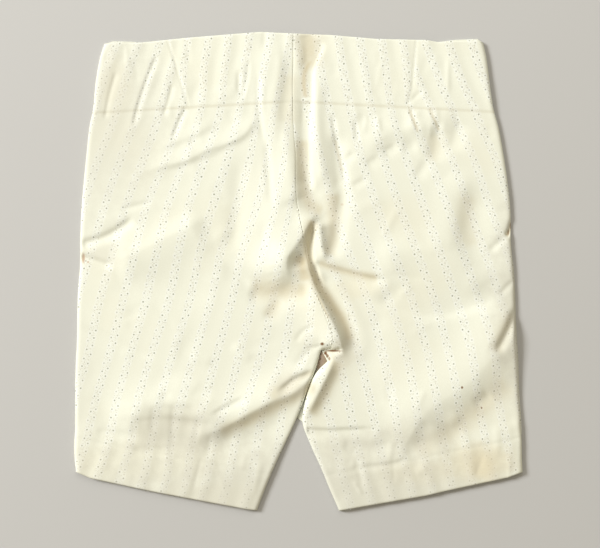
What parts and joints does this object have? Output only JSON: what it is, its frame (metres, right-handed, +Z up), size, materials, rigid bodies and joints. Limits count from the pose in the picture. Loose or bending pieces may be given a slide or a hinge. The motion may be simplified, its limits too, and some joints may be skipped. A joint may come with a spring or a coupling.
{
  "type": "child's knee breeches laid flat",
  "caption": "Small boy's short knee breeches of striped cotton, laid flat with the back up, folded softly at the crotch, with a waist facing and hem facings inside.",
  "frame": {"origin": "middle of the box that holds the garment, on the surface it lies on", "axes": "+Y from the hems toward the waist, +X toward the right-hand leg as seen from above, +Z up out of the back of the garment"},
  "size_m": [0.3346, 0.357, 0.0083],
  "materials": {
    "cloth": "matt cream cotton with woven stripes of white specks and small dark dots",
    "facing": "matt plain cotton, a little yellower than the outside"
  },
  "bodies": {
    "root": {"back_left": "cloth", "back_right": "cloth", "front_left": "cloth", "front_right": "cloth", "waist_facing": "facing", "hem_facing_left": "facing", "hem_facing_right": "facing"}
  },
  "joints": []
}
